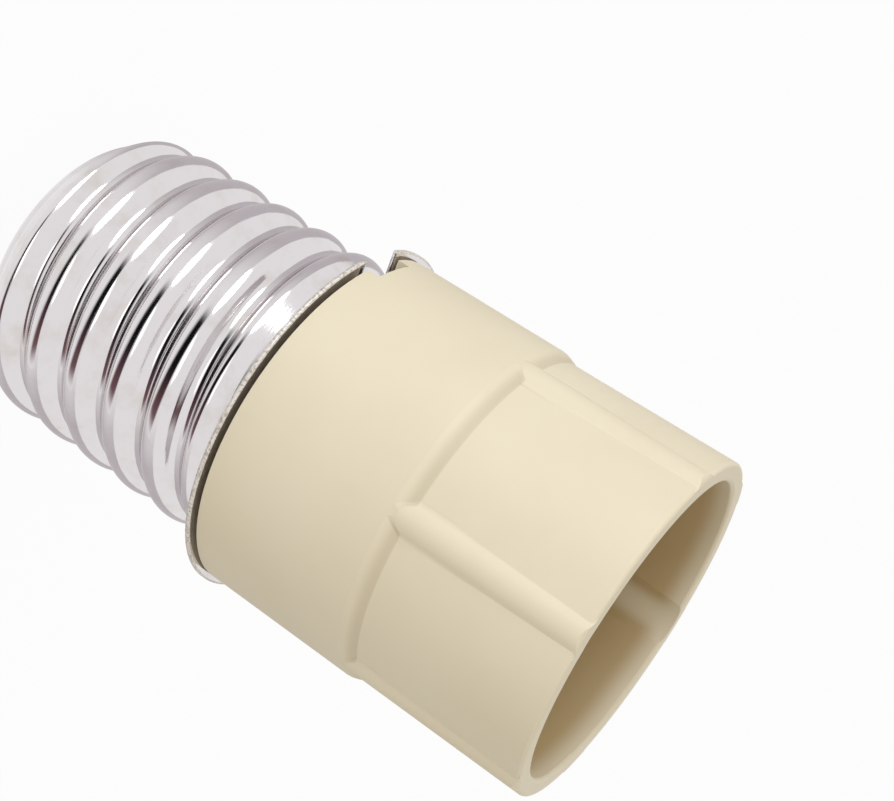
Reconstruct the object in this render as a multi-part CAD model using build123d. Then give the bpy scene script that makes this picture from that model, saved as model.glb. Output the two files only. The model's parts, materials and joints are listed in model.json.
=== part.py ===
from build123d import *
import os
from math import acos, asin, cos, radians, sin

os.makedirs("parts", exist_ok=True)

# Lamp socket adapter: a screw cap at the bottom, a twist-lock cup for a two-pin lamp at the top.
# Sizes are millimetres and angles degrees. +Z runs from the centre contact's tip to the cup's mouth,
# and +X points at one of the two face screws.

# Screw cap: a rolled right-hand thread in thin sheet, with a flange against the housing's end
thread_pitch = 6.35
thread_crest_d = 39.2
thread_root_d = 35.6
thread_crest_drop = 11.0
turns_below = 5
turns_above = 1.5
lead_in_gap = 2.0
lead_in_len = 2.4
runout_gap = 2.5
runout_len = 3.6
sheet_t = 0.5
shell_len = 40.5
shell_corner_r = 3.0
flare_r = 1.2
flange_d = 47.0
notch_angle = -67.0
notch_w = 6.5
notch_depth = 1.6

# Centre contact: a domed button whose shank is headed over a washer inside the nose
button_d = 12.6
button_h = 3.0
button_dome = 1.3
shank_d = 3.6
shank_head_d = 5.6
shank_head_h = 1.0
washer_d = 9.0
washer_t = 0.6

# Housing: neck, shoulder and ribbed cup with a keyholed floor
neck_d = 45.4
neck_len = 21.2
neck_bore_d = 41.0
shoulder_len = 1.8
shoulder_round = 1.8
shoulder_corner_r = 0.4
cup_foot_d = 44.0
cup_mouth_d = 44.4
cup_len = 22.6
cup_depth = 19.0
foot_wall = 2.8
lip_wall = 2.4
floor_t = 3.5
lip_round = 0.5
rib_count = 6
rib_r = 2.6
rib_blend_r = 1.4
rib_crown_d = 45.6
rib_lead = 1.2
rib_ramp_len = 3.0

# Keyholes for the lamp's two pins, and the raised rating band beside them
pin_circle_d = 18.0
pin_hole_d = 8.1
pin_slot_w = 3.9
pin_entry_angle = 131.0
pin_lock_angle = 47.0
band_inner_d = 31.6
band_h = 0.5
band_start_angle = -135.0
band_end_angle = 66.0

# Face screws: pan heads on lock washers, deep in counterbores that carry on as grooves up the cup wall
screw_circle_d = 31.2
counterbore_d = 9.6
counterbore_depth = 7.5
screw_boss_d = 12.4
screw_boss_len = 6.5
screw_d = 4.0
screw_len = 11.0
head_d = 8.0
head_h = 2.6
head_round = 1.1
recess_len = 4.2
recess_w = 0.9
recess_depth = 1.4
lock_washer_d = 7.4
lock_washer_t = 0.9
lock_washer_gap = 1.0
insert_d = 5.6
insert_len = 8.0

# Nose: the cap's insulator, which carries the button and closes the end of the core
nose_d = 16.8
nose_reach = 4.0
nose_plate_t = 3.2

# Core: a decked moulding that the shell is screwed on, up to the bosses of the housing, hollow for the leads
core_bore_d = 23.0
core_deck_t = 4.0
wire_notch_angle = 30.0
wire_notch_depth = 12.5

# Contacts: strips bent up from a foot, each backed by a leaf spring and held by one screw
strip_inner_d = 20.8
strip_t = 0.8
strip_start_angle = 50.0
strip_end_angle = 102.0
strip_gap = 0.5
foot_d = 36.4
foot_start_angle = 58.0
foot_end_angle = 98.0
spring_t = 0.4
spring_drop = 1.2
contact_angle = 78.0
contact_circle_d = 30.4
contact_screw_d = 2.8
contact_screw_len = 8.0
contact_head_d = 5.2
contact_head_h = 1.8

# Leads: insulated wires with crimped ring terminals, the live one sleeved, both soldered at the cap
wire_d = 2.2
ring_d = 6.0
ring_t = 0.6
barrel_t = 0.5
barrel_len = 3.6
barrel_reach = 3.4
sleeve_t = 0.5
sleeve_len = 20.0
lead_r = 9.5
lead_bend_r = 3.5
lead_turn_drop = 10.6
live_end_len = 4.0
neutral_exit_drop = 16.8
joint_d = 3.4
joint_t = 1.2

# Clearances between pieces that fit together
plug_fit = 0.15
core_fit = 0.15
nose_fit = 0.1
shank_fit = 0.1
screw_pass_fit = 0.2
thread_fit = 0.05
insert_fit = 0.02
wire_fit = 0.05
notch_fit = 0.5
leaf_fit = 0.15
collar_fit = 0.02
valley_fit = 0.03
blend_fit = 0.1
cut_over = 1.0

# Levels along the axis
shell_end_z = button_h + nose_reach
body_z = shell_end_z + shell_len
shoulder_z = body_z + neck_len
cup_z = shoulder_z + shoulder_len
mouth_z = cup_z + cup_len
floor_z = mouth_z - cup_depth
floor_under_z = floor_z - floor_t
core_top_z = floor_under_z - screw_boss_len
screw_seat_z = floor_z - counterbore_depth
head_seat_z = screw_seat_z + lock_washer_t
nose_top_z = shell_end_z + nose_plate_t
foot_top_z = core_top_z + strip_t
leaf_top_z = foot_top_z + spring_t
ring_top_z = leaf_top_z + ring_t
barrel_z = leaf_top_z + barrel_t + wire_fit + wire_d / 2
lead_turn_z = core_top_z - lead_turn_drop
neutral_exit_z = body_z - neutral_exit_drop
shank_head_z = nose_top_z + washer_t + shank_head_h

thread_depth = (thread_crest_d - thread_root_d) / 2
thread_round_r = ((thread_pitch / 2) ** 2 + thread_depth**2) / (4 * thread_depth)
screw_r = screw_circle_d / 2
pin_r = pin_circle_d / 2
floor_d = cup_foot_d - 2 * foot_wall
mouth_bore_d = cup_mouth_d - 2 * lip_wall
contact_r = contact_circle_d / 2
plug_d = thread_root_d - 2 * sheet_t - 2 * plug_fit
half_turn = Rot(0, 0, 180)


def drum(diameter, low, high):
    """Cylinder on the axis between two levels."""
    return Pos(0, 0, low) * Cylinder(
        diameter / 2, high - low, align=(Align.CENTER, Align.CENTER, Align.MIN)
    )


def post(diameter, low, high, radius, angle):
    """Cylinder parallel to the axis, at a polar place."""
    place = Pos(radius * cos(radians(angle)), radius * sin(radians(angle)), 0)
    return place * drum(diameter, low, high)


def turned(*outline):
    """Solid turned about the axis from (radius, level) points."""
    return revolve(Plane.XZ * make_face(Polyline(*outline, close=True)), Axis.Z)


def sector(inner_d, outer_d, start, stop, low, high):
    """Part of a ring between two angles and two levels."""
    corners = [
        (inner_d / 2, low),
        (outer_d / 2, low),
        (outer_d / 2, high),
        (inner_d / 2, high),
    ]
    section = Plane.XZ * make_face(Polyline(*corners, close=True))
    return Rot(0, 0, start) * revolve(section, Axis.Z, revolution_arc=stop - start)


def circle_edges(part, level, radius):
    """Round edges of a part at one level and radius."""
    edges = part.edges().filter_by(GeomType.CIRCLE)
    return edges.filter_by(lambda e: abs(e.radius - radius) < 1e-4 and abs(e.center().Z - level) < 1e-4)


def thread_collar(foot_r, crest_r, root_z, crest_z, end_z):
    """Ring outside a cone that a thread dies away on, from full crest to root."""
    rim_r = crest_r + cut_over
    skim_r = foot_r - collar_fit
    outline = [(skim_r, root_z), (rim_r, crest_z), (2 * rim_r, crest_z), (2 * rim_r, end_z), (skim_r, end_z)]
    return turned(*outline)


def thread_ridge(offset):
    """Helical ridge whose round crest runs into round valleys, cut back to a cone at both ends."""
    crest_r = thread_crest_d / 2 - offset
    root_r = thread_root_d / 2 - offset
    foot_r = root_r - sheet_t / 2
    crown_r = thread_round_r - offset
    valley_r = thread_round_r + offset
    half_pitch = thread_pitch / 2
    crown_axis = crest_r - crown_r
    valley_axis = root_r + valley_r
    share = crown_r / (crown_r + valley_r)
    turn_z = half_pitch * share
    turn_r = crown_axis + (valley_axis - crown_axis) * share
    end_angle = acos(1 - valley_fit / valley_r)
    mid_angle = (end_angle + asin((half_pitch - turn_z) / valley_r)) / 2
    end_z = half_pitch - valley_r * sin(end_angle)
    end_r = valley_axis - valley_r * cos(end_angle)
    mid_z = half_pitch - valley_r * sin(mid_angle)
    mid_r = valley_axis - valley_r * cos(mid_angle)
    section = make_face(
        [
            ThreePointArc((turn_r, -turn_z), (crest_r, 0), (turn_r, turn_z)),
            ThreePointArc((turn_r, turn_z), (mid_r, mid_z), (end_r, end_z)),
            Line((end_r, end_z), (foot_r, end_z)),
            Line((foot_r, end_z), (foot_r, -end_z)),
            Line((foot_r, -end_z), (end_r, -end_z)),
            ThreePointArc((end_r, -end_z), (mid_r, -mid_z), (turn_r, -turn_z)),
        ]
    )
    start = Pos(0, 0, body_z - thread_crest_drop - turns_below * thread_pitch)
    path = start * Helix(thread_pitch, (turns_below + turns_above) * thread_pitch, root_r)
    ridge = sweep(start * (Plane.XZ * section), path=path, is_frenet=True)
    low = shell_end_z + lead_in_gap
    high = body_z - runout_gap
    ridge -= thread_collar(foot_r, crest_r, low, low + lead_in_len, low - thread_pitch * 2)
    return ridge - thread_collar(foot_r, crest_r, high, high - runout_len, high + thread_pitch * 2)


def shell_form(offset):
    """Outside of the rolled shell, or what lies within it when drawn in by an offset."""
    root_d = thread_root_d - 2 * offset
    tube = drum(root_d, shell_end_z + offset, body_z)
    corner = circle_edges(tube, shell_end_z + offset, root_d / 2)
    tube = fillet(corner, shell_corner_r - offset)
    return tube + thread_ridge(offset)


def flange_notch(low, high):
    """Cut at the housing's end, through the flange and the neck wall."""
    reach = flange_d / 2 - thread_root_d / 2
    block = Box(reach, notch_w, high - low, align=(Align.MIN, Align.CENTER, Align.MIN))
    return Rot(0, 0, notch_angle) * Pos(thread_root_d / 2 + flare_r + sheet_t, 0, low) * block


def screw_shell():
    flange_low = body_z - sheet_t
    root_r = thread_root_d / 2
    outside = shell_form(0) + drum(flange_d, flange_low, body_z)
    outside = fillet(circle_edges(outside, flange_low, root_r), flare_r)
    inner_r = root_r - sheet_t
    flare = flare_r + sheet_t
    bell = Plane.XZ * make_face(
        [
            Line((0, body_z - flare), (inner_r, body_z - flare)),
            RadiusArc((inner_r, body_z - flare), (inner_r + flare, body_z), flare),
            Line((inner_r + flare, body_z), (0, body_z)),
            Line((0, body_z), (0, body_z - flare)),
        ]
    )
    inside = shell_form(sheet_t) + revolve(bell, Axis.Z)
    nose_hole = drum(nose_d + 2 * nose_fit, shell_end_z - cut_over, nose_top_z)
    return outside - inside - nose_hole - flange_notch(flange_low - cut_over, body_z + cut_over)


def keyhole():
    """Round entry for a pin head, and the curved slot it locks along."""
    low = floor_under_z - cut_over
    high = floor_z + cut_over
    slot_inner = pin_circle_d - pin_slot_w
    slot_outer = pin_circle_d + pin_slot_w
    track = sector(slot_inner, slot_outer, pin_lock_angle, pin_entry_angle, low, high)
    entry = post(pin_hole_d, low, high, pin_r, pin_entry_angle)
    return track + entry + post(pin_slot_w, low, high, pin_r, pin_lock_angle)


def rib_section():
    """Round crown that runs into the cup's wall through a hollow blend on both sides."""
    crown_r = rib_crown_d / 2
    crown_axis = crown_r - rib_r
    base_r = cup_foot_d / 2 - blend_fit
    blend_axis = base_r + rib_blend_r
    reach = rib_r + rib_blend_r
    drop = acos((blend_axis - crown_axis) / reach)
    base_y = reach * sin(drop)
    turn_r = crown_axis + rib_r * cos(drop)
    turn_y = rib_r * sin(drop)
    mid_r = blend_axis - rib_blend_r * cos(drop / 2)
    mid_y = base_y - rib_blend_r * sin(drop / 2)
    return make_face(
        [
            ThreePointArc((turn_r, -turn_y), (crown_r, 0), (turn_r, turn_y)),
            ThreePointArc((turn_r, turn_y), (mid_r, mid_y), (base_r, base_y)),
            Line((base_r, base_y), (crown_axis, base_y)),
            Line((crown_axis, base_y), (crown_axis, -base_y)),
            Line((crown_axis, -base_y), (base_r, -base_y)),
            ThreePointArc((base_r, -base_y), (mid_r, -mid_y), (turn_r, -turn_y)),
        ]
    )


def rib():
    """Rib along the cup, ramped up from the neck and rounded at the mouth."""
    start_z = shoulder_z - rib_lead
    limit_r = rib_crown_d / 2 + blend_fit
    limit = turned(
        (0, start_z),
        (neck_d / 2 - blend_fit, start_z),
        (limit_r, start_z + rib_ramp_len),
        (limit_r, mouth_z),
        (0, mouth_z),
    )
    limit = fillet(circle_edges(limit, mouth_z, limit_r), 2 * lip_round)
    return Pos(0, 0, start_z) * extrude(rib_section(), mouth_z - start_z) & limit


def housing():
    neck_r = neck_d / 2
    foot_r = cup_foot_d / 2
    body = turned(
        (0, body_z),
        (neck_r, body_z),
        (neck_r, shoulder_z),
        (foot_r, cup_z),
        (cup_mouth_d / 2, mouth_z),
        (0, mouth_z),
    )
    body = fillet(circle_edges(body, shoulder_z, neck_r), shoulder_round)
    body = fillet(circle_edges(body, cup_z, foot_r), shoulder_corner_r)
    body = fillet(circle_edges(body, mouth_z, cup_mouth_d / 2), lip_round)
    body += [Rot(0, 0, 360 / rib_count * i) * rib() for i in range(rib_count)]
    body -= turned(
        (0, floor_z),
        (floor_d / 2, floor_z),
        (mouth_bore_d / 2, mouth_z),
        (0, mouth_z),
    )
    body = fillet(circle_edges(body, mouth_z, mouth_bore_d / 2), lip_round)
    body -= drum(neck_bore_d, body_z, floor_under_z)
    for angle in (0, 180):
        body += post(screw_boss_d, core_top_z, floor_under_z, screw_r, angle)
    wall_mid_d = (floor_d + cup_foot_d) / 2
    body += sector(band_inner_d, wall_mid_d, band_start_angle, band_end_angle, floor_z, floor_z + band_h)
    for angle in (0, 180):
        body -= post(counterbore_d, screw_seat_z, mouth_z, screw_r, angle)
        body -= post(screw_d + 2 * screw_pass_fit, core_top_z, screw_seat_z, screw_r, angle)
        body -= Rot(0, 0, angle) * keyhole()
    return body - flange_notch(body_z, body_z + notch_depth)


def nose():
    plug_z = shell_end_z + sheet_t + plug_fit
    disc = drum(plug_d, plug_z, nose_top_z)
    disc = fillet(circle_edges(disc, plug_z, plug_d / 2), shell_corner_r - sheet_t - plug_fit)
    body = disc + drum(nose_d, button_h, plug_z)
    return body - drum(shank_d + 2 * shank_fit, button_h, nose_top_z)


def core():
    drum_d = neck_bore_d - 2 * core_fit
    plug = shell_form(sheet_t + plug_fit) - drum(thread_crest_d, shell_end_z, nose_top_z)
    body = plug + drum(drum_d, body_z, core_top_z)
    body -= drum(core_bore_d, nose_top_z, core_top_z - core_deck_t)
    notch_w_wire = wire_d + 2 * notch_fit
    for turn in (0, 180):
        body -= post(insert_d, core_top_z - insert_len, core_top_z, screw_r, turn)
        body -= post(screw_d, core_top_z - insert_len - cut_over, core_top_z, screw_r, turn)
        pilot_low = ring_top_z - contact_screw_len - cut_over
        body -= post(contact_screw_d + 2 * thread_fit, pilot_low, core_top_z, contact_r, contact_angle + turn)
        channel = Box(
            contact_r + notch_w_wire / 2,
            notch_w_wire,
            wire_notch_depth,
            align=(Align.MIN, Align.CENTER, Align.MAX),
        )
        body -= Rot(0, 0, wire_notch_angle + turn) * Pos(0, 0, core_top_z) * channel
    outlet = Cylinder(joint_d / 2, thread_crest_d / 2, align=(Align.CENTER, Align.CENTER, Align.MIN))
    neutral_angle = wire_notch_angle + 180
    return body - Rot(0, 0, neutral_angle) * Pos(0, 0, neutral_exit_z) * Rot(0, 90, 0) * outlet


def centre_contact():
    """Domed button with a shank that is headed over the washer."""
    shank_top = nose_top_z + washer_t
    rim_r = button_d / 2
    dome_r = (rim_r**2 + button_dome**2) / (2 * button_dome)
    button = drum(button_d, 0, button_h) & Pos(0, 0, dome_r) * Sphere(dome_r)
    head = drum(shank_head_d, shank_top, shank_top + shank_head_h)
    return button + drum(shank_d, button_h, shank_top) + head


def contact_washer():
    return drum(washer_d, nose_top_z, nose_top_z + washer_t) - drum(
        shank_d + 2 * shank_fit, nose_top_z, nose_top_z + washer_t
    )


def contact_hole(low, high):
    return post(contact_screw_d + 2 * screw_pass_fit, low, high, contact_r, contact_angle)


def contact():
    """Strip that a lamp pin slides along, bent up from its foot on the core."""
    outer_d = strip_inner_d + 2 * strip_t
    high = floor_under_z - strip_gap
    strip = sector(strip_inner_d, outer_d, strip_start_angle, strip_end_angle, core_top_z, high)
    foot = sector(strip_inner_d, foot_d, foot_start_angle, foot_end_angle, core_top_z, foot_top_z)
    return strip + foot - contact_hole(core_top_z, foot_top_z)


def leaf_spring():
    """Thin leaf that backs the strip, with its foot under the same screw."""
    inner_d = strip_inner_d + 2 * (strip_t + leaf_fit)
    high = floor_under_z - strip_gap - spring_drop
    leaf = sector(inner_d, inner_d + 2 * spring_t, foot_start_angle, foot_end_angle, foot_top_z, high)
    foot = sector(inner_d, foot_d, foot_start_angle, foot_end_angle, foot_top_z, leaf_top_z)
    return leaf + foot - contact_hole(foot_top_z, leaf_top_z)


def polar(radius, angle, level):
    return Vector(radius * cos(radians(angle)), radius * sin(radians(angle)), level)


def at_contact():
    """Plane of a contact screw, with its X pointing at the top of the wire's notch."""
    seat = polar(contact_r, contact_angle, 0)
    return Plane(seat, x_dir=polar(contact_r, wire_notch_angle, 0) - seat, z_dir=(0, 0, 1))


def terminal():
    """Ring under the contact screw, joined to a barrel that grips the wire."""
    barrel_d = wire_d + 2 * (wire_fit + barrel_t)
    ring = drum(ring_d, leaf_top_z, ring_top_z)
    tongue = Pos(0, 0, leaf_top_z) * Box(
        barrel_reach, barrel_d, ring_t, align=(Align.MIN, Align.CENTER, Align.MIN)
    )
    along = Pos(barrel_reach, 0, barrel_z) * Rot(0, 90, 0)
    low = (Align.CENTER, Align.CENTER, Align.MIN)
    barrel = along * Cylinder(barrel_d / 2, barrel_len, align=low)
    web = Pos(barrel_reach - ring_t, 0, leaf_top_z) * Box(
        ring_t, barrel_d, wire_d, align=(Align.MIN, Align.CENTER, Align.MIN)
    )
    bore = along * Cylinder(wire_d / 2 + wire_fit, barrel_len, align=low)
    hole = drum(contact_screw_d + 2 * screw_pass_fit, leaf_top_z, ring_top_z)
    return at_contact() * (ring + tongue + web + barrel - bore - hole)


def contact_screw():
    low = ring_top_z - contact_screw_len
    head = drum(contact_head_d, ring_top_z, ring_top_z + contact_head_h)
    top = circle_edges(head, ring_top_z + contact_head_h, contact_head_d / 2)
    head = fillet(top, contact_head_h / 2)
    return at_contact() * (head + drum(contact_screw_d, low, ring_top_z))


def face_screw():
    """Pan-head screw with a cross recess."""
    top_z = head_seat_z + head_h
    head = drum(head_d, head_seat_z, top_z)
    head = fillet(circle_edges(head, top_z, head_d / 2), head_round)
    shank = drum(screw_d, head_seat_z - screw_len, head_seat_z)
    screw = head + shank
    for turn in (0, 90):
        arm = Box(recess_len, recess_w, recess_depth, align=(Align.CENTER, Align.CENTER, Align.MAX))
        screw -= Rot(0, 0, turn) * Pos(0, 0, top_z) * arm
    return Pos(screw_r, 0, 0) * screw


def lock_washer():
    ring = drum(lock_washer_d, screw_seat_z, head_seat_z)
    ring -= drum(screw_d + 2 * screw_pass_fit, screw_seat_z, head_seat_z)
    split = Pos(0, 0, screw_seat_z) * Box(
        lock_washer_d, lock_washer_gap, lock_washer_t, align=(Align.MIN, Align.CENTER, Align.MIN)
    )
    return Pos(screw_r, 0, 0) * (ring - split)


def core_insert():
    low = core_top_z - insert_len
    sleeve = drum(insert_d - 2 * insert_fit, low, core_top_z)
    return Pos(screw_r, 0, 0) * (sleeve - drum(screw_d + 2 * thread_fit, low, core_top_z))


def pair(part):
    """The same piece on both sides of the axis."""
    return Compound(children=[part, half_turn * part])


def lead_start():
    """Wire from its terminal, round into the core's notch and down into the bore."""
    return [
        at_contact().from_local_coords((barrel_reach, 0, barrel_z)),
        polar(contact_r, wire_notch_angle, barrel_z),
        polar(contact_r, wire_notch_angle, core_top_z - wire_notch_depth / 2),
        polar(lead_r, wire_notch_angle, lead_turn_z),
    ]


def wire(points):
    path = FilletPolyline(*points, radius=lead_bend_r)
    section = Plane(origin=path @ 0, z_dir=path % 0) * Circle(wire_d / 2)
    return sweep(section, path=path)


def live_wire():
    end_z = shank_head_z + joint_t
    above = polar(lead_r, wire_notch_angle, end_z + 2 * live_end_len)
    return wire(lead_start() + [above, Vector(0, 0, end_z + live_end_len), Vector(0, 0, end_z)])


def live_sleeve():
    high = lead_turn_z - lead_bend_r
    bore_d = wire_d + 2 * wire_fit
    tube = post(bore_d + 2 * sleeve_t, high - sleeve_len, high, lead_r, wire_notch_angle)
    return tube - post(bore_d, high - sleeve_len, high, lead_r, wire_notch_angle)


def live_joint():
    low = shank_head_z
    return drum(joint_d, low, low + joint_t)


def neutral_wire():
    angle = wire_notch_angle
    corner = polar(lead_r, angle, neutral_exit_z)
    inner_r = thread_root_d / 2 - sheet_t
    return half_turn * wire(lead_start() + [corner, polar(inner_r - joint_t, angle, neutral_exit_z)])


def neutral_joint():
    inner_r = thread_root_d / 2 - sheet_t
    blob = Rot(0, 90, 0) * Cylinder(
        joint_d / 2 - plug_fit, joint_t, align=(Align.CENTER, Align.CENTER, Align.MIN)
    )
    blob = Pos(inner_r - joint_t, 0, neutral_exit_z) * blob & drum(2 * inner_r, 0, body_z)
    return half_turn * Rot(0, 0, wire_notch_angle) * blob


pieces = {
    "housing": housing(),
    "core": core(),
    "nose": nose(),
    "screw_shell": screw_shell(),
    "centre_contact": centre_contact(),
    "contact_washer": contact_washer(),
    "live_contact": contact(),
    "neutral_contact": half_turn * contact(),
    "live_spring": leaf_spring(),
    "neutral_spring": half_turn * leaf_spring(),
    "live_terminal": terminal(),
    "neutral_terminal": half_turn * terminal(),
    "contact_screws": pair(contact_screw()),
    "face_screws": pair(face_screw()),
    "lock_washers": pair(lock_washer()),
    "core_inserts": pair(core_insert()),
    "live_wire": live_wire(),
    "neutral_wire": neutral_wire(),
    "live_sleeve": live_sleeve(),
    "live_joint": live_joint(),
    "neutral_joint": neutral_joint(),
}

for node, piece in pieces.items():
    export_step(piece, f"parts/{node}.step")
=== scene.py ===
import json
from math import atan2, cos, exp, log, pi, radians, sin, sqrt

import bmesh
import bpy
from mathutils import Matrix, Quaternion, Vector


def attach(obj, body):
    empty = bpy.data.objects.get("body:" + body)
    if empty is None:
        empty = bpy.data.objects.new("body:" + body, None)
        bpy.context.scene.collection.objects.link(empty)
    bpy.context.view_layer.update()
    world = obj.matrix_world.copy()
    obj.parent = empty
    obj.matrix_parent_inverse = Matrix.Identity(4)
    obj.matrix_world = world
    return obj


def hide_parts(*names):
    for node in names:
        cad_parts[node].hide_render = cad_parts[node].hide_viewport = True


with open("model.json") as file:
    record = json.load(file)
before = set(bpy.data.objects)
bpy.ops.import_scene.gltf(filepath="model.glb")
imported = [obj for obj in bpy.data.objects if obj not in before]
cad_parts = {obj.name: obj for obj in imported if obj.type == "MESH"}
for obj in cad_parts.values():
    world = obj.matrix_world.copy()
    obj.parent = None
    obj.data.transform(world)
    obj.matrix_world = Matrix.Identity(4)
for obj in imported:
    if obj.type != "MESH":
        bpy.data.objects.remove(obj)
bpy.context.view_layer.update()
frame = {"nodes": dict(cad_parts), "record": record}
mm = 0.001
nodes = frame["nodes"]
scene = bpy.context.scene
scene.view_settings.view_transform = "Standard"
print("frame loaded, nodes:", len(nodes))


# shader sockets that take plain arithmetic
class Flow:
    def __init__(self, tree, socket):
        self.tree = tree
        self.socket = socket

    def node(self, kind, settings, sockets, out=0):
        made = self.tree.nodes.new("ShaderNode" + kind)
        for name, value in settings.items():
            setattr(made, name, value)
        for key, value in sockets.items():
            if isinstance(value, Flow):
                self.tree.links.new(value.socket, made.inputs[key])
            else:
                made.inputs[key].default_value = value
        return Flow(self.tree, made.outputs[out])

    def maths(self, operation, first, second):
        return self.node("Math", {"operation": operation}, {0: first, 1: second})

    def __add__(self, other):
        return self.maths("ADD", self, other)

    def __radd__(self, other):
        return self.maths("ADD", other, self)

    def __sub__(self, other):
        return self.maths("SUBTRACT", self, other)

    def __rsub__(self, other):
        return self.maths("SUBTRACT", other, self)

    def __mul__(self, other):
        return self.maths("MULTIPLY", self, other)

    def __rmul__(self, other):
        return self.maths("MULTIPLY", other, self)

    def __truediv__(self, other):
        return self.maths("DIVIDE", self, other)

    def __pow__(self, other):
        return self.maths("POWER", self, other)


def noise(coords, scale, detail, rough=0.5):
    sockets = {"Vector": coords, "Scale": scale, "Detail": detail, "Roughness": rough}
    return coords.node("TexNoise", {}, sockets)


def cells(coords, scale):
    return coords.node("TexVoronoi", {"feature": "F1"}, {"Vector": coords, "Scale": scale})


def ramped(value, low, high):  # 0 below low, 1 above high, smooth between
    sockets = {"Value": value, "From Min": low, "From Max": high, "To Min": 0.0, "To Max": 1.0}
    return value.node("MapRange", {"interpolation_type": "SMOOTHSTEP", "clamp": True}, sockets)


def blend(share, first, second):  # colours, by a 0..1 value
    first = first if isinstance(first, Flow) else (*first, 1.0)
    second = second if isinstance(second, Flow) else (*second, 1.0)
    return share.node("Mix", {"data_type": "RGBA"}, {0: share, 6: first, 7: second}, out=2)


socketNames = {
    "colour": "Base Color",
    "metal": "Metallic",
    "rough": "Roughness",
    "specular": "Specular IOR Level",
}


def startFinish(name, **plain):
    material = bpy.data.materials.new(name)
    material.use_nodes = True
    tree = material.node_tree
    shader = tree.nodes["Principled BSDF"]
    for key, value in plain.items():
        shader.inputs[socketNames[key]].default_value = value
    coords = Flow(tree, tree.nodes.new("ShaderNodeTexCoord").outputs["Object"])
    return material, shader, coords


def feed(shader, key, flow):
    flow.tree.links.new(flow.socket, shader.inputs[socketNames[key]])


def bumped(shader, height, look):
    sockets = {"Height": height, "Strength": look["bump"], "Distance": look["bumpDepth"]}
    bump = height.node("Bump", {}, sockets)
    bump.tree.links.new(bump.socket, shader.inputs["Normal"])


def axisParts(coords):  # radius from the axis, angle about it and height, from object coordinates
    split = coords.tree.nodes.new("ShaderNodeSeparateXYZ")
    coords.tree.links.new(coords.socket, split.inputs[0])
    x, y, z = (Flow(coords.tree, output) for output in split.outputs)
    radius = (x * x + y * y) ** 0.5
    return radius, x.maths("ARCTAN2", y, x), z


# cream moulding of the housing, with painted shade: darker inside the cup and in the corner of the shoulder
plastic = dict(
    cream=(0.715, 0.640, 0.475),
    pale=(0.745, 0.675, 0.515),
    speck=(0.30, 0.23, 0.13),
    speckShare=0.55,
    # painted shade: colour and share for the inside of the cup
    inside=(0.50, 0.37, 0.185),
    paintedInsideShare=0.9,
    # painted shade: colour and share for the shoulder's slope and the corner at the cup's foot
    corner=(0.47, 0.39, 0.26),
    paintedCornerShare=0.45,
    insideR=20.5 * mm,
    insideEase=0.6 * mm,
    floorZ=73.0 * mm,
    floorEase=0.5 * mm,
    mouthZ=93.1 * mm,
    mouthEase=(3.5 * mm, 0.4 * mm),
    neckR=22.7 * mm,
    cupR=22.0 * mm,
    cupEase=(0.5 * mm, 0.3 * mm),
    shoulderZ=68.7 * mm,
    shoulderEase=0.1 * mm,
    cupZ=70.5 * mm,
    cornerEase=0.3 * mm,
    ribRise=(0.15 * mm, 0.40 * mm),
    blotchScale=45.0,
    blotchDetail=3.0,
    blotchSpread=(0.3, 0.7),
    grainScale=2600.0,
    grainDetail=2.0,
    speckScale=75.0,
    speckSize=0.012,
    specular=0.42,
    rough=0.37,
    blotchRough=0.10,
    grainRough=0.08,
    grainHeight=0.7,
    blotchHeight=0.3,
    bump=0.10,
    bumpDepth=0.06 * mm,
)


def paintedShoulderShade(radius, height):  # painted shade on the shoulder: soft on the slope, crisp at the cup's foot, none on the ribs
    p = plastic
    drop = (p["neckR"] - p["cupR"]) / (p["cupZ"] - p["shoulderZ"])
    slope = p["neckR"] - (height - p["shoulderZ"]) * drop
    onSlope = 1.0 - ramped(radius - slope, *p["ribRise"])
    outside = ramped(radius, *(p["cupR"] - ease for ease in p["cupEase"]))
    start = ramped(height, p["shoulderZ"] + p["shoulderEase"], p["cupZ"] - p["cornerEase"])
    stop = 1.0 - ramped(height, p["cupZ"], p["cupZ"] + p["cornerEase"])
    return onSlope * outside * start * stop


def paintedInsideShade(radius, height):  # painted shade inside the cup: full on the cup's wall and floor, gone at its lip
    p = plastic
    bore = 1.0 - ramped(radius, p["insideR"] - p["insideEase"], p["insideR"])
    above = ramped(height, p["floorZ"], p["floorZ"] + p["floorEase"])
    return bore * above * (1.0 - ramped(height, *(p["mouthZ"] - ease for ease in p["mouthEase"])))


def mouldedPlastic(name):
    p = plastic
    material, shader, coords = startFinish(name, specular=p["specular"])
    radius, _, height = axisParts(coords)
    blotch = noise(coords, p["blotchScale"], p["blotchDetail"])
    grain = noise(coords, p["grainScale"], p["grainDetail"])
    speck = 1.0 - ramped(cells(coords, p["speckScale"]), p["speckSize"], 2 * p["speckSize"])
    colour = blend(ramped(blotch, *p["blotchSpread"]), p["cream"], p["pale"])
    # painted shade: the inside of the cup is coloured darker
    colour = blend(paintedInsideShade(radius, height) * p["paintedInsideShare"], colour, p["inside"])
    # painted shade on the shoulder's slope and in the corner at the cup's foot
    colour = blend(paintedShoulderShade(radius, height) * p["paintedCornerShare"], colour, p["corner"])
    feed(shader, "colour", blend(speck * p["speckShare"], colour, p["speck"]))
    feed(shader, "rough", p["rough"] + p["blotchRough"] * blotch + p["grainRough"] * grain)
    bumped(shader, grain * p["grainHeight"] + blotch * p["blotchHeight"], p)
    return material


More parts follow.
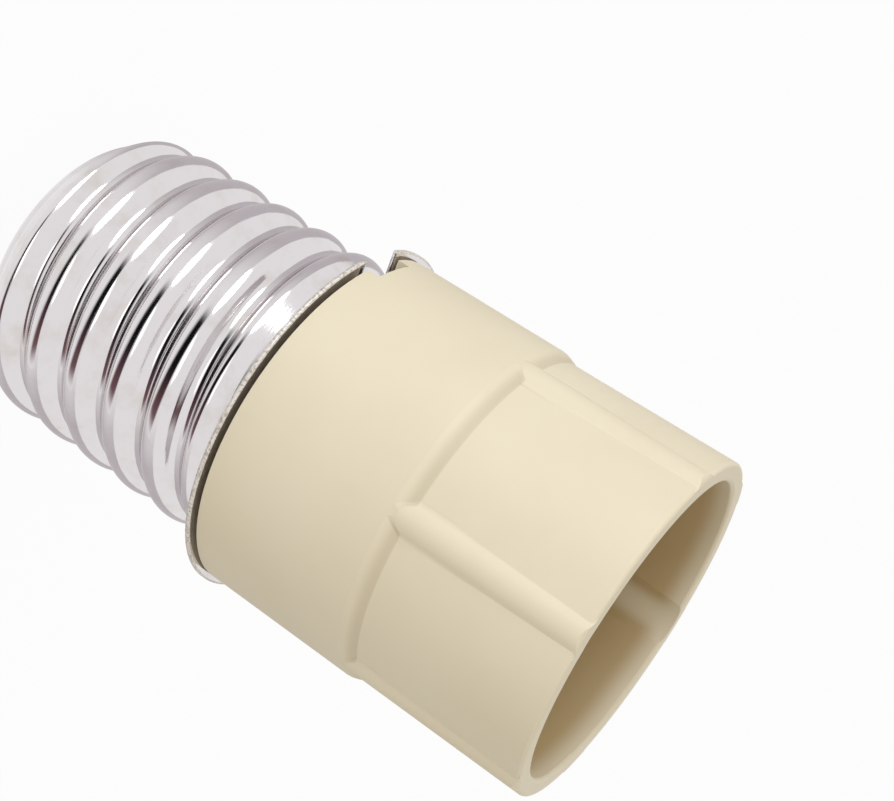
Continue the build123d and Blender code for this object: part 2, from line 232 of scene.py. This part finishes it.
# hard mouldings that are mostly hidden: the core behind the keyholes and the insulator under the button
hard = dict(
    specular=0.4,
    blotchScale=160.0,
    blotchDetail=3.0,
    blotchSpread=(0.3, 0.7),
    blotchRough=0.12,
    grainScale=2400.0,
    grainDetail=2.0,
    bump=0.10,
    bumpDepth=0.05 * mm,
)
hidden = {
    "core_moulding": dict(base=(0.020, 0.019, 0.018), worn=(0.045, 0.043, 0.040), rough=0.42),
    "cap_insulator": dict(base=(0.70, 0.67, 0.58), worn=(0.76, 0.73, 0.66), rough=0.30),
}


def hardMoulding(name, tones):
    material, shader, coords = startFinish(name, specular=hard["specular"])
    blotch = noise(coords, hard["blotchScale"], hard["blotchDetail"])
    grain = noise(coords, hard["grainScale"], hard["grainDetail"])
    share = ramped(blotch, *hard["blotchSpread"])
    feed(shader, "colour", blend(share, tones["base"], tones["worn"]))
    feed(shader, "rough", tones["rough"] + hard["blotchRough"] * blotch)
    bumped(shader, grain, hard)
    return material


# nickel plate over rolled brass, with a sheared rim and a brassy ledge where the housing stands
nickel = dict(
    plate=(0.745, 0.715, 0.725),
    warm=(0.66, 0.62, 0.59),
    brass=(0.52, 0.41, 0.26),
    sheared=(0.78, 0.74, 0.70),
    pitted=(0.50, 0.44, 0.38),
    ledgeR=22.6 * mm,
    ledgeZ=47.2 * mm,
    ledgeEase=0.1 * mm,
    cutR=23.2 * mm,
    cutEase=0.12 * mm,
    rollScale=5.0,
    rollDetail=4.0,
    rollRough=0.6,
    rollStretch=40.0,
    cloudScale=220.0,
    cloudDetail=4.0,
    cloudRough=0.6,
    cloudSpread=(0.45, 0.8),
    pitScale=3000.0,
    pitDetail=2.0,
    pitSpread=(0.46, 0.64),
    metalLoss=0.7,
    rough=0.075,
    markRough=0.09,
    bareRough=0.35,
    rollHeight=0.9,
    cloudHeight=0.5,
    pitHeight=3.0,
    bump=0.16,
    bumpDepth=0.05 * mm,
)


def nickelPlate(name, pitch):
    n = nickel
    material, shader, coords = startFinish(name, metal=1.0)
    radius, angle, height = axisParts(coords)
    turn = height * (2 * pi / pitch) - angle  # same value all along one line of the helix
    across = turn.maths("COSINE", turn, 0.0)
    along = turn.maths("SINE", turn, 0.0)
    rolled = coords.node("CombineXYZ", {}, {0: across, 1: along, 2: height * n["rollStretch"]})
    lines = noise(rolled, n["rollScale"], n["rollDetail"], n["rollRough"])
    cloud = noise(coords, n["cloudScale"], n["cloudDetail"], n["cloudRough"])
    cut = ramped(radius, n["cutR"], n["cutR"] + n["cutEase"])
    ledge = ramped(radius, n["ledgeR"], n["ledgeR"] + n["ledgeEase"])
    ledge = ledge * ramped(height, n["ledgeZ"], n["ledgeZ"] + n["ledgeEase"])
    bare = cut.maths("MAXIMUM", cut, ledge)
    pits = ramped(noise(coords, n["pitScale"], n["pitDetail"]), *n["pitSpread"])
    plate = blend(ramped(cloud, *n["cloudSpread"]), n["plate"], n["warm"])
    rim = blend(pits, n["sheared"], n["pitted"])
    feed(shader, "colour", blend(cut, blend(ledge, plate, n["brass"]), rim))
    feed(shader, "metal", 1.0 - n["metalLoss"] * bare)
    feed(shader, "rough", n["rough"] + n["markRough"] * cloud * lines + n["bareRough"] * bare)
    marks = lines * n["rollHeight"] + cloud * n["cloudHeight"] + cut * pits * n["pitHeight"]
    bumped(shader, marks, n)
    return material


# finishes that vary by one soft cloud, which takes the colour from base to worn and adds to the roughness
dullNickel = dict(
    base=(0.80, 0.79, 0.78),
    worn=(0.62, 0.60, 0.57),
    plain=dict(metal=1.0),
    noise=(260.0, 5.0, 0.65),
    spread=(0.35, 0.75),
    rough=0.16,
    cloudRough=0.26,
    bump=0.25,
    bumpDepth=0.08 * mm,
)
blackOxide = dict(
    base=(0.028, 0.028, 0.031),
    worn=(0.07, 0.068, 0.066),
    plain=dict(metal=0.85),
    noise=(600.0, 4.0),
    spread=(0.4, 0.7),
    rough=0.20,
    cloudRough=0.22,
    bump=0.12,
    bumpDepth=0.03 * mm,
)
softLead = dict(
    base=(0.70, 0.68, 0.63),
    worn=(0.58, 0.56, 0.52),
    plain=dict(specular=0.3),
    noise=(500.0, 3.0),
    rough=0.55,
    cloudRough=0.2,
    bump=0.2,
    bumpDepth=0.05 * mm,
)
bareMetal = dict(
    plain=dict(metal=1.0),
    spread=(0.35, 0.75),
    cloudRough=0.2,
    bump=0.15,
    bumpDepth=0.03 * mm,
)
metals = {
    "plain_steel": dict(base=(0.58, 0.58, 0.59), worn=(0.42, 0.41, 0.40), rough=0.28, noise=(900.0, 3.0)),
    "contact_brass": dict(base=(0.72, 0.56, 0.27), worn=(0.50, 0.36, 0.15), rough=0.22, noise=(700.0, 3.0)),
    "tinned_terminal": dict(base=(0.66, 0.66, 0.65), worn=(0.48, 0.47, 0.45), rough=0.34, noise=(800.0, 3.0)),
    "solder": dict(base=(0.60, 0.60, 0.61), worn=(0.40, 0.40, 0.40), rough=0.38, noise=(1200.0, 3.0)),
}


def clouded(name, look):
    material, shader, coords = startFinish(name, **look["plain"])
    cloud = noise(coords, *look["noise"])
    share = ramped(cloud, *look["spread"]) if "spread" in look else cloud
    feed(shader, "colour", blend(share, look["base"], look["worn"]))
    feed(shader, "rough", look["rough"] + look["cloudRough"] * cloud)
    bumped(shader, cloud, look)
    return material


# woven sleeving on the live lead
sleeve = dict(
    low=(0.50, 0.46, 0.36),
    high=(0.78, 0.74, 0.63),
    specular=0.3,
    weaveScale=900.0,
    weaveDistortion=0.6,
    rough=0.7,
    weaveRough=0.15,
    bump=0.5,
    bumpDepth=0.1 * mm,
)


def wovenSleeve(name):
    material, shader, coords = startFinish(name, specular=sleeve["specular"])
    bands = {"wave_type": "BANDS", "bands_direction": "DIAGONAL"}
    sockets = {"Vector": coords, "Scale": sleeve["weaveScale"], "Distortion": sleeve["weaveDistortion"]}
    weave = coords.node("TexWave", bands, sockets)
    feed(shader, "colour", blend(weave, sleeve["low"], sleeve["high"]))
    feed(shader, "rough", sleeve["rough"] + sleeve["weaveRough"] * weave)
    bumped(shader, weave, sleeve)
    return material


# rolled screw shell, modelled as one sheet so that its crests stay smooth
shell = dict(
    pitch=6.35 * mm,
    crestR=19.6 * mm,
    rootR=17.8 * mm,
    roundR=1.85 * mm,
    crestHeight=36.5 * mm,
    endZ=7.0 * mm,
    topZ=47.5 * mm,
    sheet=0.5 * mm,
    cornerR=3.0 * mm,
    cornerSteps=14,
    flareR=1.2 * mm,
    flareSteps=8,
    flangeR=23.5 * mm,
    rimEdge=0.25 * mm,
    noseR=8.5 * mm,
    leadGap=2.0 * mm,
    leadLen=2.4 * mm,
    runGap=2.5 * mm,
    runLen=3.6 * mm,
    runSoftness=0.25 * mm,
    notchAngle=-67.0,
    notchWidth=6.5 * mm,
    notchFloorR=19.5 * mm,
    notchSplit=3.0 * mm,
    notchDrop=1.0 * mm,
    rowGap=0.22 * mm,
    steps=224,
    weld=1e-7,
)


def threadHeight(phase):  # height above the root at a share of the pitch from the crest
    away = abs((phase + 0.5) % 1.0 - 0.5) * shell["pitch"]
    half = shell["pitch"] / 2
    if away < half / 2:
        return shell["crestR"] - shell["rootR"] - shell["roundR"] + sqrt(shell["roundR"] ** 2 - away**2)
    return shell["roundR"] - sqrt(shell["roundR"] ** 2 - (half - away) ** 2)


def easedMin(first, second, softness):  # the lower of two heights, with a rounded meeting
    share = max(0.0, min(1.0, 0.5 + 0.5 * (second - first) / softness))
    return second + (first - second) * share - softness * share * (1 - share)


def threadRise(point):  # thread above the root there, faded out towards both ends
    angle = atan2(point.y, point.x)
    phase = (point.z - shell["crestHeight"]) / shell["pitch"] - angle / (2 * pi)
    full = shell["crestR"] - shell["rootR"]
    rising = (point.z - shell["endZ"] - shell["leadGap"]) / shell["leadLen"] * full
    falling = (shell["topZ"] - shell["runGap"] - point.z) / shell["runLen"] * full
    limit = min(rising, falling)
    if limit <= 0:
        return 0.0
    return max(0.0, easedMin(threadHeight(phase), limit, shell["runSoftness"]))


def chain(bm, points):  # edges joined in a row through points given as radius and height
    made = [bm.verts.new((radius, 0.0, height)) for radius, height in points]
    return made + [bm.edges.new(two) for two in zip(made, made[1:])]


def arcPoints(centre, radius, start, stop, count):
    angles = [radians(start + (stop - start) * i / count) for i in range(count + 1)]
    return [(centre[0] + radius * cos(a), centre[1] + radius * sin(a)) for a in angles]


def shellOutline():
    s = shell
    low = s["topZ"] - s["sheet"]
    cornerAt = (s["rootR"] - s["cornerR"], s["endZ"] + s["cornerR"])
    corner = arcPoints(cornerAt, s["cornerR"], -90, 0, s["cornerSteps"])
    flareAt = (s["rootR"] + s["flareR"], low - s["flareR"])
    flare = arcPoints(flareAt, s["flareR"], 180, 90, s["flareSteps"])
    rows = int((flare[0][1] - corner[-1][1]) / s["rowGap"])
    step = (flare[0][1] - corner[-1][1]) / rows
    barrel = [(s["rootR"], corner[-1][1] + step * i) for i in range(1, rows)]
    rim = [(s["flangeR"] - s["rimEdge"], low), (s["flangeR"], low)]
    return [(s["noseR"], s["endZ"])] + corner + barrel + flare + rim


def spun(bm, outline, steps):
    geom = chain(bm, outline)
    bmesh.ops.spin(
        bm, geom=geom, cent=(0, 0, 0), axis=(0, 0, 1), angle=2 * pi, steps=steps, use_merge=True
    )
    bmesh.ops.remove_doubles(bm, verts=bm.verts, dist=shell["weld"])
    bmesh.ops.recalc_face_normals(bm, faces=bm.faces)


def facesPast(bm, out, reach, height):  # faces further out than reach and above height
    middles = [(face, face.calc_center_median()) for face in bm.faces]
    return [(face, middle) for face, middle in middles if middle.dot(out) > reach and middle.z > height]


def cutNotch(bm):
    turn = Matrix.Rotation(radians(shell["notchAngle"]), 3, "Z")
    across = turn @ Vector((0, 1, 0))
    out = turn @ Vector((1, 0, 0))
    half = shell["notchWidth"] / 2
    for side in (-1, 1):
        near = [face for face, _ in facesPast(bm, out, shell["rootR"], shell["topZ"] - shell["notchSplit"])]
        geom = near + list({e for f in near for e in f.edges}) + list({v for f in near for v in f.verts})
        bmesh.ops.bisect_plane(
            bm, geom=geom, dist=shell["weld"], plane_co=across * half * side, plane_no=across
        )
    flange = facesPast(bm, out, shell["notchFloorR"], shell["topZ"] - shell["notchDrop"])
    gone = [face for face, middle in flange if abs(middle.dot(across)) < half]
    bmesh.ops.delete(bm, geom=gone, context="FACES")


def finishPiece(name, bm, material, slot, *stoodFor):
    mesh = bpy.data.meshes.new(name)
    bm.to_mesh(mesh)
    bm.free()
    mesh.shade_smooth()
    mesh.materials.append(material)
    piece = bpy.data.objects.new(name, mesh)
    scene.collection.objects.link(piece)
    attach(piece, "root")
    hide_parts(*stoodFor)
    return piece


def rolledShell(material):
    bm = bmesh.new()
    spun(bm, shellOutline(), shell["steps"])
    barrelLow = shell["endZ"] + shell["cornerR"] / 2
    barrelHigh = shell["topZ"] - shell["sheet"] - shell["flareR"]
    for vert in bm.verts:
        if barrelLow < vert.co.z < barrelHigh:
            radius = vert.co.xy.length
            grown = radius + threadRise(vert.co)
            vert.co.x *= grown / radius
            vert.co.y *= grown / radius
    cutNotch(bm)
    bmesh.ops.recalc_face_normals(bm, faces=bm.faces)
    piece = finishPiece("rolled_shell", bm, material, "nickel_shell", "screw_shell")
    wall = piece.modifiers.new("sheet", "SOLIDIFY")
    wall.thickness = shell["sheet"]
    wall.offset = -1.0


finishes = {
    "cream_moulding": mouldedPlastic("creamMoulding"),
    "nickel_shell": nickelPlate("nickelPlate", shell["pitch"]),
    "nickel_button": clouded("dullNickel", dullNickel),
    "black_screw": clouded("blackOxide", blackOxide),
    "lead_insulation": clouded("leadInsulation", softLead),
    "glass_sleeving": wovenSleeve("glassSleeving"),
}
for slotName, tones in metals.items():
    finishes[slotName] = clouded(slotName, {**bareMetal, **tones})
for slotName, tones in hidden.items():
    finishes[slotName] = hardMoulding(slotName, tones)
print("finishes:", len(finishes))

for entry in frame["record"]["subparts"]:
    node = nodes[entry["node"]]
    node.data.materials.clear()
    node.data.materials.append(finishes[entry["material_slot"]])
rolledShell(finishes["nickel_shell"])


# camera at the photograph's viewing angle
camera = dict(
    at=Vector((180.4, -28.6, 124.4)) * mm,
    aim=Vector((-0.985, -10.422, 59.211)) * mm,
    roll=122.7,
    lens=65.2,
    sensor=36.0,
    clip=(0.01, 50.0),
)


def placeCamera():
    data = bpy.data.cameras.new("view")
    data.lens = camera["lens"]
    data.sensor_width = camera["sensor"]
    data.clip_start, data.clip_end = camera["clip"]
    eye = bpy.data.objects.new("view", data)
    eye.location = camera["at"]
    eye.rotation_mode = "QUATERNION"
    track = (camera["aim"] - camera["at"]).to_track_quat("-Z", "Y")
    eye.rotation_quaternion = track @ Quaternion((0, 0, 1), radians(camera["roll"]))
    scene.collection.objects.link(eye)
    scene.camera = eye
    return eye.rotation_quaternion.to_matrix()


eyeAxes = placeCamera()  # columns: image right, image up, towards the eye


# floor and world: both are seen white, and shiny metal sees the floor dimmed at the sides
studio = dict(
    white=(1.0, 1.0, 1.0),
    floorColour=(0.86, 0.86, 0.86),
    floorRough=0.9,
    floorSpecular=0.1,
    floorSize=60.0,
    floorGlow=0.94,
    dimFrom=38.0,
    dimTo=100.0,
    dimColour=(0.60, 0.565, 0.59),
    worldLight=0.74,
    worldColour=(1.0, 0.955, 0.88),
    worldSeen=0.975,
)
# lamps, placed by directions in the picture from a point on the part's axis
lampAimZ = 48 * mm
lamps = {
    "key": dict(towards=(0.22, 0.68, 0.70), distance=0.60, size=0.40, power=1.9, tone=(0.95, 1.0, 1.07)),
    "fill": dict(towards=(-0.50, 0.10, 0.86), distance=0.70, size=0.50, power=0.6, tone=(1.0, 1.0, 1.0)),
}
# dark card laid on the floor, that only shiny metal sees: near and far reach at its first and last angle
darkCard = dict(
    start=-32.0,
    stop=64.0,
    nearReach=(0.052, 0.028),
    farReach=(0.75, 0.090),
    lift=0.4 * mm,
    steps=24,
    fullAcross=(0.22, 0.75),
    fullAlong=(0.15, 0.82),
    blackUpTo=8.0,
    black=(0.006, 0.006, 0.007),
    rosy=(0.23, 0.12, 0.135),
    edge=(0.95, 0.95, 0.95),
)


def addLamp(name, settings):
    data = bpy.data.lights.new(name, "AREA")
    data.shape = "DISK"
    data.size = settings["size"]
    data.energy = settings["power"]
    data.color = settings["tone"]
    lamp = bpy.data.objects.new(name, data)
    towards = (eyeAxes @ Vector(settings["towards"])).normalized()
    lamp.location = Vector((0, 0, lampAimZ)) + towards * settings["distance"]
    lamp.rotation_euler = (-towards).to_track_quat("-Z", "Y").to_euler()
    scene.collection.objects.link(lamp)
    print("lamp", name, [round(x, 3) for x in lamp.location])


def addStage(name, bm, material):
    mesh = bpy.data.meshes.new(name)
    bm.to_mesh(mesh)
    bm.free()
    mesh.materials.append(material)
    made = bpy.data.objects.new(name, mesh)
    scene.collection.objects.link(made)
    return made


def rayShare(tree, kind):
    return Flow(tree, tree.nodes.new("ShaderNodeLightPath").outputs[f"Is {kind} Ray"])


def seenShare(tree):  # 1 for rays from the eye, a mirror or a glass, 0 for the rest
    eye, shine, through = (rayShare(tree, kind) for kind in ("Camera", "Glossy", "Transmission"))
    return eye.maths("MAXIMUM", eye, shine.maths("MAXIMUM", shine, through))


def floorFinish():
    colour = (*studio["floorColour"], 1.0)
    material, shader, coords = startFinish(
        "paleFloor", colour=colour, rough=studio["floorRough"], specular=studio["floorSpecular"]
    )
    tree = material.node_tree
    _, angle, _ = axisParts(coords)
    aside = angle.maths("ABSOLUTE", angle, 0.0)
    dim = ramped(aside, radians(studio["dimFrom"]), radians(studio["dimTo"])) * rayShare(tree, "Glossy")
    glow = dim.node("Emission", {}, {"Color": blend(dim, studio["white"], studio["dimColour"])})
    share = seenShare(tree) * studio["floorGlow"]
    mixed = glow.node("MixShader", {}, {0: share, 1: Flow(tree, shader.outputs[0]), 2: glow})
    tree.links.new(mixed.socket, tree.nodes["Material Output"].inputs["Surface"])
    return material


def addFloor():
    bm = bmesh.new()
    bmesh.ops.create_grid(bm, x_segments=2, y_segments=2, size=studio["floorSize"] / 2)
    addStage("floor", bm, floorFinish())


def lightWorld():
    world = bpy.data.worlds.new("studio")
    world.use_nodes = True
    scene.world = world
    tree = world.node_tree
    seen = seenShare(tree)
    level = studio["worldLight"] + seen * (studio["worldSeen"] - studio["worldLight"])
    tree.links.new(level.socket, tree.nodes["Background"].inputs["Strength"])
    tone = blend(seen, studio["worldColour"], studio["white"])
    tree.links.new(tone.socket, tree.nodes["Background"].inputs["Color"])


def logReach(ends, share):  # works on numbers and on sockets
    return log(ends[0]) + (log(ends[1]) - log(ends[0])) * share


def withSoftEdges(value, full):  # 0 at 0 and 1, 1 in the full range between
    return ramped(value, 0.0, full[0]) * (1.0 - ramped(value, full[1], 1.0))


def darkCardFinish():
    c = darkCard
    material, shader, coords = startFinish("darkCard", colour=(0.0, 0.0, 0.0, 1.0), rough=1.0, specular=0.0)
    radius, angle, _ = axisParts(coords)
    turn = (angle - radians(c["start"])) / radians(c["stop"] - c["start"])
    inner, outer = logReach(c["nearReach"], turn), logReach(c["farReach"], turn)
    across = (radius.maths("LOGARITHM", radius, exp(1.0)) - inner) / (outer - inner)
    covered = withSoftEdges(across, c["fullAcross"]) * withSoftEdges(turn, c["fullAlong"])
    share = ramped(angle, radians(c["blackUpTo"]), radians(c["stop"]))
    tone = blend(covered, c["edge"], blend(share, c["black"], c["rosy"]))
    tone.tree.links.new(tone.socket, shader.inputs["Emission Color"])
    shader.inputs["Emission Strength"].default_value = 1.0
    return material


def addDarkCard():
    c = darkCard
    bm = bmesh.new()
    rails = []
    for i in range(c["steps"] + 1):
        share = i / c["steps"]
        angle = radians(c["start"] + (c["stop"] - c["start"]) * share)
        reaches = [exp(logReach(ends, share)) for ends in (c["nearReach"], c["farReach"])]
        rails.append([bm.verts.new((r * cos(angle), r * sin(angle), c["lift"])) for r in reaches])
    for first, second in zip(rails, rails[1:]):
        bm.faces.new((first[0], first[1], second[1], second[0]))
    card = addStage("darkCard", bm, darkCardFinish())
    card.visible_camera = False
    card.visible_diffuse = False
    card.visible_transmission = False
    card.visible_shadow = False


addFloor()
addDarkCard()
lightWorld()
for lampName, lampSettings in lamps.items():
    addLamp(lampName, lampSettings)
print("studio set")
